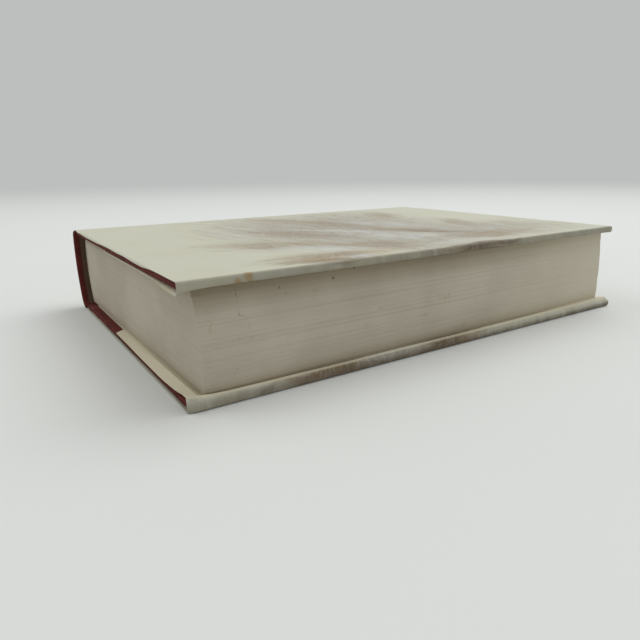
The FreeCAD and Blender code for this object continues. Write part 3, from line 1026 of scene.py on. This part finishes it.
def blockLevel(share, slipX, slipY):
    # one level of the block, from the tail round by the front edge
    z = blockFoot + (blockTop - blockFoot) * share
    fore = foreReach(share, -118) + slipX
    back = backHinge.x - lean * share - 4 * block["rounding"] * share * (1 - share)
    half = block["halfHeight"]
    loop = [(x, -half + slipY, 0, -1) for x in endStops(back, fore)]
    loop += [(foreReach(share, y) + slipX, y, 1, 0) for y in between(-half + slipY, half + slipY, block["foreStops"])]
    fore = foreReach(share, half) + slipX
    loop += [(back + fore - x, half + slipY, 0, 1) for x in endStops(back, fore)]
    loop += [(back, y, 0, 0) for y in between(half + slipY, -half + slipY, block["backStops"])]
    row = []
    for x, y, outX, outY in loop:
        sway = block["edgeSway"] * wobble(x * 0.02, y * 0.02, z * 0.12, 21)
        row.append((x + outX * sway, y + outY * sway, z))
    return row


def leafBlock(name):
    levels = block["levels"]
    rows = []
    for i in range(levels + 1):
        share = i / levels
        section = block["sectionSlip"] * wobble(0, 0, share * 24, 22)
        slipX = section + random.uniform(-1, 1) * block["leafSlip"]
        slipY = 0.6 * section + random.uniform(-1, 1) * block["leafSlip"]
        rows.append(blockLevel(share, slipX, slipY))
    piece = gridObject(name, rows, around=True)
    mesh = piece.data
    width = len(rows[0])
    points = [tuple(v.co) for v in mesh.vertices]
    faces = [tuple(p.vertices) for p in mesh.polygons]
    faces.append(tuple(reversed(range(width))))
    faces.append(tuple(range(levels * width, (levels + 1) * width)))
    mesh.clear_geometry()
    mesh.from_pydata(points, [], faces)
    centre = Vector(((backHinge.x + block["foreFoot"]) / 2, 0, 0)) * mm
    turn = Matrix.Translation(centre) @ Matrix.Rotation(math.radians(block["turn"]), 4, "Z")
    mesh.transform(turn @ Matrix.Translation(-centre))
    mesh.validate()
    smoothShade(piece, 35)
    return piece


leaves = leafBlock("leafBlock")
dress(leaves, "leaves")
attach(leaves, "root")
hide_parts("text_block")

# The endpapers cross each joint under the cloth
hingePaper = {"thickness": 0.15, "halfHeight": 115.5}
frontFold = [
    (frontHinge.x + 0.4, blockTop + 0.08),
    (frontHinge.x + 2.5, blockTop + 0.25),
    (frontBoardLow.x, bookTop - pasteFace + 0.08),
]
backFold = [
    (backHinge.x + 0.4, blockFoot - 0.08),
    (backHinge.x + 2.5, blockFoot - 0.25),
    (boardLow.x, pasteFace - 0.08),
]
frontHingePaper = stripOver("endpaperFrontJoint", frontFold, frontFold, hingePaper["halfHeight"], hingePaper["thickness"], 0)
backHingePaper = stripOver("endpaperBackJoint", backFold, backFold, hingePaper["halfHeight"], hingePaper["thickness"], 0)
for piece in (frontHingePaper, backHingePaper):
    dress(piece, "endPaper")
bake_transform(frontHingePaper)
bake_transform(backHingePaper)

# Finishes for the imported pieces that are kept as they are
keptFinish = {
    "front_pastedown": "endPaper",
    "back_pastedown": "endPaper",
    "front_flyleaf": "endPaper",
    "back_flyleaf": "endPaper",
    "mull": "gauze",
    "spine_lining": "liningKraft",
    "spine_strip": "spineCard",
}
for node, finish in keptFinish.items():
    packed = frame["nodes"][node]
    packed.data.materials.clear()
    packed.data.materials.append(materials[finish])
print("block of leaves stacked, endpapers and boards finished")


# Table, backdrop, light and camera
studio = {
    "floor": tone(224, 226, 223),
    "ridge": tone(214, 217, 214),
    "backdrop": tone(188, 191, 189),
    "fadeFrom": 0.25,           # metres from the book where the table begins to melt into the backdrop
    "fadeTo": 2.2,
    "worldStrength": 0.58,
    # lamps: place, size in metres, power in watts
    "lamps": {
        "windowLight": ((-0.25, 1.0, 1.6), 1.8, 16.4),
        "leftFill": ((-0.9, -0.8, 1.2), 1.2, 4.0),
    },
    "camera": (235.093, -173.206, 78.568),
    "yaw": 56.92217719896473,
    "pitch": 16.285041768923406,
    "roll": -0.576178702236657,
    "lens": 30.826231929201015,
}


def tableTop():
    look = studio
    bpy.ops.mesh.primitive_plane_add(size=1)
    floor = bpy.context.object
    floor.name = "tableTop"
    floor.scale = (40, 40, 1)
    floor.location = (0, 0, -0.0002)
    material = newMaterial("tablePaint")
    tree = material.node_tree
    place = add(tree, "NewGeometry").outputs["Position"]
    soft = patch(tree, place, 9.0, 3.0)
    colour = blendColour(tree, calc(tree, "MULTIPLY", soft, 0.3), look["floor"], look["ridge"])
    finishMaterial(material, colour, 0.7, Specular_IOR_Level=0.2)
    # far off, the table takes the colour of the backdrop, as the camera sees it
    out = next(node for node in tree.nodes if node.type == "OUTPUT_MATERIAL")
    painted = out.inputs[0].links[0].from_socket
    away = add(tree, "VectorMath", {0: place}, operation="LENGTH").outputs["Value"]
    far = spread(tree, away, look["fadeFrom"], look["fadeTo"])
    share = calc(tree, "MULTIPLY", far, add(tree, "LightPath").outputs["Is Camera Ray"])
    haze = add(tree, "Emission", {"Color": look["backdrop"], "Strength": 1.0}).outputs[0]
    mixed = add(tree, "MixShader", {0: share, 1: painted, 2: haze})
    tree.links.new(mixed.outputs[0], out.inputs[0])
    floor.data.materials.append(material)


def softBox(name, place, size, power):
    data = bpy.data.lights.new(name, "AREA")
    data.shape = "DISK"
    data.size = size
    data.energy = power
    lamp = bpy.data.objects.new(name, data)
    bpy.context.scene.collection.objects.link(lamp)
    lamp.location = place
    lamp.rotation_euler = (Vector((0, 0, 0.02)) - Vector(place)).to_track_quat("-Z", "Y").to_euler()


def roomLight():
    look = studio
    world = bpy.data.worlds.new("room")
    bpy.context.scene.world = world
    world.use_nodes = True
    tree = world.node_tree
    tree.nodes.clear()
    seen = add(tree, "LightPath")
    shown = calc(tree, "MAXIMUM", seen.outputs["Is Camera Ray"], seen.outputs["Is Glossy Ray"])
    shown = calc(tree, "MAXIMUM", shown, seen.outputs["Is Transmission Ray"])
    light = add(tree, "Background", {"Color": (1.0, 1.0, 1.0, 1.0), "Strength": look["worldStrength"]})
    back = add(tree, "Background", {"Color": look["backdrop"], "Strength": 1.0})
    mixed = add(tree, "MixShader", {0: shown, 1: light.outputs[0], 2: back.outputs[0]})
    out = add(tree, "OutputWorld")
    tree.links.new(mixed.outputs[0], out.inputs[0])


def placeCamera():
    look = studio
    yaw, pitch, roll = (math.radians(look[key]) for key in ("yaw", "pitch", "roll"))
    ahead = Vector((-math.sin(yaw) * math.cos(pitch), math.cos(yaw) * math.cos(pitch), -math.sin(pitch)))
    level = Vector((math.cos(yaw), math.sin(yaw), 0))
    upright = level.cross(ahead)
    right = level * math.cos(roll) + upright * math.sin(roll)
    top = upright * math.cos(roll) - level * math.sin(roll)
    data = bpy.data.cameras.new("camera")
    data.lens = look["lens"]
    data.clip_start = 0.01
    camera = bpy.data.objects.new("camera", data)
    bpy.context.scene.collection.objects.link(camera)
    turn = Matrix((right, top, -ahead)).transposed().to_4x4()
    camera.matrix_world = Matrix.Translation(Vector(look["camera"]) * mm) @ turn
    bpy.context.scene.camera = camera


tableTop()
roomLight()
for lampName, (place, size, power) in studio["lamps"].items():
    softBox(lampName, place, size, power)
placeCamera()
bpy.context.scene.view_settings.view_transform = "Standard"
print("table, light and camera placed")
